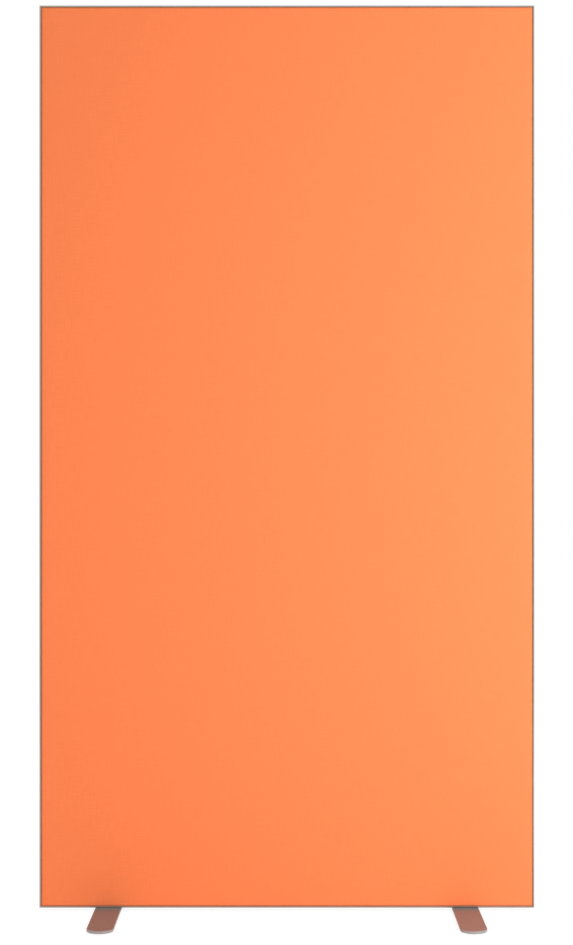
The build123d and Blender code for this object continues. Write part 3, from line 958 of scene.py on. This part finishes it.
@dataclass
class RubberPad:
    """One foot pad: a moulded disc with a rim and a field of short studs underneath."""

    foot: Side
    end: Face
    facets: int = 72
    edge: float = 0.4 * MM
    rim_width: float = 1.4 * MM
    recess: float = 0.7 * MM
    stud_radius: float = 0.9 * MM
    stud_tip_share: float = 0.75
    stud_facets: int = 12
    stud_pitch: float = 3 * MM
    stud_rows: int = 11

    @property
    def node(self) -> str:
        """The name of the CAD node that the pad stands for."""
        return f"{self.foot.word}_foot_pad_{self.end.word}"

    def tree(self) -> tuple[bpy.types.NodeTree, dict[str, str]]:
        """Build the rule that raises the disc step by step, underside up, and sets the studs in it.

        Returns:
            The geometry tree and its inputs' identifiers.
        """
        tree, value, identifiers = new_tree("rubber_pad", {
            "Radius": "NodeSocketFloat",
            "Facets": "NodeSocketInt",
            "Wall": "NodeSocketFloat",
            "Edge": "NodeSocketFloat",
            "Contact Share": "NodeSocketFloat",
            "Floor Share": "NodeSocketFloat",
            "Recess": "NodeSocketFloat",
            "Stud Radius": "NodeSocketFloat",
            "Stud Tip Radius": "NodeSocketFloat",
            "Stud Facets": "NodeSocketInt",
            "Stud Pitch": "NodeSocketFloat",
            "Stud Rows": "NodeSocketInt",
            "Row Pitch": "NodeSocketFloat",
            "Field Width": "NodeSocketFloat",
            "Field Length": "NodeSocketFloat",
            "Field Radius": "NodeSocketFloat",
            "Stud Level": "NodeSocketFloat",
        })
        add = partial(add_node, tree)
        disc = add("GeometryNodeMeshCircle", {
            "Vertices": value["Facets"], "Radius": value["Radius"],
        }, fill_type="NGON")
        sunk = add("ShaderNodeMath", {0: value["Recess"], 1: -1.0}, operation="MULTIPLY")
        # Each step: how far the top face rises, and what share of its radius it keeps
        steps = (
            (value["Wall"], 1.0),
            (value["Edge"], value["Contact Share"]),
            (0.0, value["Floor Share"]),
            (sunk, 1.0),
        )
        body, top = disc, True
        for rise, share in steps:
            offset = add("ShaderNodeCombineXYZ", {"Z": rise})
            raised = add("GeometryNodeExtrudeMesh", {
                "Mesh": body, "Selection": top, "Offset": offset, "Individual": False,
            }).outputs
            body, top = raised["Mesh"], raised["Top"]
            body = add("GeometryNodeScaleElements", {
                "Geometry": body, "Selection": top, "Scale": share,
            })
        closed = close_mesh(tree, disc, body)
        # Studs stand on the recess's floor, each row half a pitch beside the last, clear of the rim
        grid = add("GeometryNodeMeshGrid", {
            "Size X": value["Field Width"], "Size Y": value["Field Length"],
            "Vertices X": value["Stud Rows"], "Vertices Y": value["Stud Rows"],
        })
        at = add("GeometryNodeInputPosition")
        level = add("ShaderNodeSeparateXYZ", {0: at}).outputs["Y"]
        rows = add("ShaderNodeMath", {0: level, 1: value["Row Pitch"]}, operation="DIVIDE")
        row = add("ShaderNodeMath", {0: rows}, operation="ROUND")
        odd = add("ShaderNodeMath", {0: row, 1: 1.0}, operation="PINGPONG")
        half = add("ShaderNodeMath", {0: value["Stud Pitch"], 1: 0.5}, operation="MULTIPLY")
        sideways = add("ShaderNodeMath", {0: odd, 1: half}, operation="MULTIPLY")
        shift = add("ShaderNodeCombineXYZ", {"X": sideways, "Z": value["Stud Level"]})
        staggered = add("GeometryNodeSetPosition", {"Geometry": grid.outputs["Mesh"], "Offset": shift})
        flat_at = add("ShaderNodeVectorMath", {0: at, 1: (1, 1, 0)}, operation="MULTIPLY")
        away = add("ShaderNodeVectorMath", {0: flat_at}, operation="LENGTH")
        outside = add(
            "ShaderNodeMath", {0: away.outputs["Value"], 1: value["Field Radius"]},
            operation="GREATER_THAN",
        )
        kept = add("GeometryNodeDeleteGeometry", {
            "Geometry": staggered, "Selection": outside,
        }, domain="POINT")
        stud = add("GeometryNodeMeshCone", {
            "Vertices": value["Stud Facets"], "Radius Top": value["Stud Tip Radius"],
            "Radius Bottom": value["Stud Radius"], "Depth": value["Recess"],
        }, fill_type="NGON")
        studs = add("GeometryNodeInstanceOnPoints", {"Points": kept, "Instance": stud.outputs["Mesh"]})
        real = add("GeometryNodeRealizeInstances", {"Geometry": studs})
        whole = add("GeometryNodeJoinGeometry", {"Geometry": [closed, real]})
        end_tree(tree, value, smooth_by_angle(tree, whole))
        return tree, identifiers

    def build(self, material: bpy.types.Material) -> bpy.types.Object:
        """Make the pad in its CAD solid's place, studs down.

        Args:
            material: the rubber.

        Returns:
            The finished piece.
        """
        low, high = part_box(self.node)
        middle = (low + high) / 2
        radius, thickness = (high.x - low.x) / 2, high.z - low.z
        contact = radius - self.edge
        floor = contact - self.rim_width
        row_share = math.sqrt(3) / 2
        span = (self.stud_rows - 1) * self.stud_pitch
        tree, identifiers = self.tree()
        piece = grow(f"{self.node}_rubber", tree, identifiers, {
            "Radius": radius,
            "Facets": self.facets,
            "Wall": thickness - self.edge,
            "Edge": self.edge,
            "Contact Share": contact / radius,
            "Floor Share": floor / contact,
            "Recess": self.recess,
            "Stud Radius": self.stud_radius,
            "Stud Tip Radius": self.stud_radius * self.stud_tip_share,
            "Stud Facets": self.stud_facets,
            "Stud Pitch": self.stud_pitch,
            "Stud Rows": self.stud_rows,
            "Row Pitch": self.stud_pitch * row_share,
            "Field Width": span,
            "Field Length": span * row_share,
            "Field Radius": floor - 2 * self.stud_radius,
            "Stud Level": thickness - self.recess,
            "Place": (middle.x, middle.y, high.z),
            "Turn": (math.pi, 0.0, 0.0),
            "Material": material,
        })
        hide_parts(self.node)
        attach(piece, f"{self.foot.word}_foot")
        log.info("%s: %d faces", piece.name, len(piece.data.polygons))
        return piece


@dataclass
class PanelFrame:
    """The aluminium frame with its corner cleats, cross bar, boards, edge strips and covers."""

    ends: tuple[Side, Side] = (Side.LEFT, Side.RIGHT)
    levels: tuple[Side, Side] = (Side.TOP, Side.BOTTOM)

    def build(self) -> None:
        """Give each node of the frame its finish and make its edge strips."""
        for end in self.ends:
            dress(f"{end.word}_stile", STILE_ALUMINIUM)
            dress(f"cross_bar_bracket_{end.word}", ZINC_PLATE)
            dress(f"cross_bar_screws_{end.word}", ZINC_PLATE)
        for level in self.levels:
            dress(f"{level.word}_rail", RAIL_ALUMINIUM)
            for end in self.ends:
                dress(f"cleat_{level.word}_{end.word}", MILL_ALUMINIUM)
                dress(f"cleat_screws_{level.word}_{end.word}", ZINC_PLATE)
        dress("cross_bar", MILL_ALUMINIUM)
        dress("upper_infill_board", KRAFT_PAPER)
        dress("lower_infill_board", KRAFT_PAPER)
        for side in (*self.ends, Side.TOP):
            dress(f"{side.word}_cover_strip", GREY_PLASTIC)
        for face in Face:
            for side in Side:
                EdgeStrip(face, side).build(material_of(ORANGE_SILICONE))


@dataclass
class SwivelFoot:
    """One plate foot with its pads, and the bolt, washer and nut block that it swivels on."""

    side: Side

    def build(self) -> None:
        """Give each node of the foot its finish and make its pads."""
        foot = f"{self.side.word}_foot"
        dress(foot, FOOT_PLATE)
        for end in Face:
            RubberPad(self.side, end).build(material_of(BLACK_RUBBER))
        dress(f"{foot}_thrust_washer", BLACK_NYLON)
        for fastener in ("pivot_bolt", "nut_block", "nut_block_screws"):
            dress(f"{foot}_{fastener}", ZINC_PLATE)


@dataclass
class Studio:
    """Camera, floor and light.

    The photograph's frame and the panel's outline and vanishing point in it are pixel places. Powers
    are in watts, and the sensor is in millimetres. The sky is the strength of the light from all
    round, and a lift is the light that the floor itself gives off.
    """

    picture_width: float = 573
    picture_height: float = 945
    panel_left: float = 39.45
    panel_right: float = 534.3
    panel_top: float = 5.55
    horizon_x: float = 286
    horizon_y: float = 468.5
    camera_distance: float = 3.59
    sensor: float = 36
    floor_radius: float = 14
    floor_colour: str = "#FAFAFA"
    floor_seen_colour: str = "#7C7C7C"
    floor_lift: float = 0.90
    floor_gloss_lift: float = 0.15
    sky: float = 0.54
    key_power: float = 69
    key_place: tuple[float, float, float] = (1.9, -1.75, 1.06)
    key_size: tuple[float, float] = (1.0, 2.1)
    card_power: float = 15
    rear_power: float = 35
    rear_place: tuple[float, float, float] = (-1.6, 2.4, 1.6)
    rear_size: tuple[float, float] = (0.9, 1.3)

    def add_camera(self) -> None:
        """Stand the camera where the photograph was taken from."""
        low, high = CAD_BOX
        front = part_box("front_fabric")[0].y
        metres = (high.x - low.x) / (self.panel_right - self.panel_left)
        panel_middle = (self.panel_left + self.panel_right) / 2
        data = bpy.data.cameras.new("photo_camera")
        data.sensor_width = self.sensor
        data.lens = self.sensor * self.camera_distance / (self.picture_height * metres)
        data.shift_x = (self.picture_width / 2 - self.horizon_x) / self.picture_height
        data.shift_y = (self.horizon_y - self.picture_height / 2) / self.picture_height
        camera = bpy.data.objects.new("photo_camera", data)
        camera.location = (
            (low.x + high.x) / 2 + (self.horizon_x - panel_middle) * metres,
            front - self.camera_distance,
            high.z - (self.horizon_y - self.panel_top) * metres,
        )
        camera.rotation_euler = (math.pi / 2, 0, 0)
        bpy.context.scene.collection.objects.link(camera)
        bpy.context.scene.camera = camera

    def strength(
        self, tree: bpy.types.NodeTree, camera: float, gloss: float, other: float
    ) -> bpy.types.Node:
        """Add the nodes that give a light's strength by what looks at it.

        Args:
            tree: the material's or world's tree.
            camera: the strength to the camera.
            gloss: the strength to glossy and transmission rays.
            other: the strength to all other rays, which light the object.

        Returns:
            The node that gives the strength.
        """
        add = partial(add_node, tree)
        path = add("ShaderNodeLightPath").outputs
        through = add(
            "ShaderNodeMath",
            {0: path["Is Glossy Ray"], 1: path["Is Transmission Ray"]}, operation="MAXIMUM",
        )
        indirect = add("ShaderNodeMix", {"Factor_Float": through, "A_Float": other, "B_Float": gloss})
        return add("ShaderNodeMix", {
            "Factor_Float": path["Is Camera Ray"], "A_Float": indirect, "B_Float": camera,
        })

    def add_world(self) -> None:
        """White to the eye and to gloss, and a plain soft light to everything else."""
        world = bpy.data.worlds.new("studio")
        world.use_nodes = True
        tree = world.node_tree
        tree.nodes.clear()
        background = add_node(tree, "ShaderNodeBackground", {
            "Color": (1, 1, 1, 1), "Strength": self.strength(tree, 1.0, 1.0, self.sky),
        })
        add_node(tree, "ShaderNodeOutputWorld", {"Surface": background})
        bpy.context.scene.world = world

    def add_floor(self) -> None:
        """A plain pale floor, lifted to white for the eye and a little for gloss, with its shadow."""
        material, tree, shader = start_material("studio_floor")
        path = add_node(tree, "ShaderNodeLightPath").outputs
        # To the eye the floor shows little of its own light, so that it comes out no brighter than white
        seen = add_node(tree, "ShaderNodeMix", {
            "Factor_Float": path["Is Camera Ray"], "A_Color": linear(self.floor_colour),
            "B_Color": linear(self.floor_seen_colour),
        }, data_type="RGBA")
        feed(tree, shader, {
            "Base Color": seen.outputs[2],
            "Roughness": 1.0,
            "Specular IOR Level": 0.0,
            "Emission Color": (1, 1, 1, 1),
            "Emission Strength": self.strength(tree, self.floor_lift, self.floor_gloss_lift, 0.0),
        })
        edge = self.floor_radius
        mesh = bpy.data.meshes.new("studio_floor")
        corners = [(-edge, -edge, 0), (edge, -edge, 0), (edge, edge, 0), (-edge, edge, 0)]
        mesh.from_pydata(corners, [], [(0, 1, 2, 3)])
        mesh.materials.append(material)
        floor = bpy.data.objects.new("studio_floor", mesh)
        bpy.context.scene.collection.objects.link(floor)

    def add_light(
        self, name: str, place: tuple[float, float, float], size: tuple[float, float], power: float,
        shine: Shine,
    ) -> None:
        """Stand a soft box and turn it to the middle of the panel.

        Args:
            name: the light's name.
            place: where it stands.
            size: its width and height.
            power: its power in watts.
            shine: what its light falls on.
        """
        data = bpy.data.lights.new(name, "AREA")
        data.shape = "RECTANGLE"
        data.size, data.size_y = size
        data.energy = power
        light = bpy.data.objects.new(name, data)
        light.location = place
        aim = Vector((0, 0, (CAD_BOX[0].z + CAD_BOX[1].z) / 2)) - light.location
        light.rotation_euler = aim.to_track_quat("-Z", "Y").to_euler()
        light.visible_diffuse = shine is Shine.ON_MATT
        light.visible_glossy = shine is Shine.IN_GLOSS
        bpy.context.scene.collection.objects.link(light)

    def build(self) -> None:
        """Set up the whole studio.

        The soft boxes light what is matt. A dim card in the key's place is what gloss shows, so that the
        bare metal never burns out to the white behind it.
        """
        self.add_camera()
        self.add_world()
        self.add_floor()
        self.add_light("key_soft_box", self.key_place, self.key_size, self.key_power, Shine.ON_MATT)
        self.add_light("gloss_card", self.key_place, self.key_size, self.card_power, Shine.IN_GLOSS)
        self.add_light("rear_soft_box", self.rear_place, self.rear_size, self.rear_power, Shine.ON_MATT)
        bpy.context.scene.view_settings.view_transform = "Standard"


def main() -> None:
    """Build the partition's pieces in order, then the studio."""
    logging.basicConfig(level=logging.INFO, format="%(message)s")
    for face in Face:
        StretchedCloth(face).build(material_of(ORANGE_CLOTH))
    PanelFrame().build()
    for side in (Side.LEFT, Side.RIGHT):
        SwivelFoot(side).build()
    Studio().build()


if __name__ == "__main__":
    main()
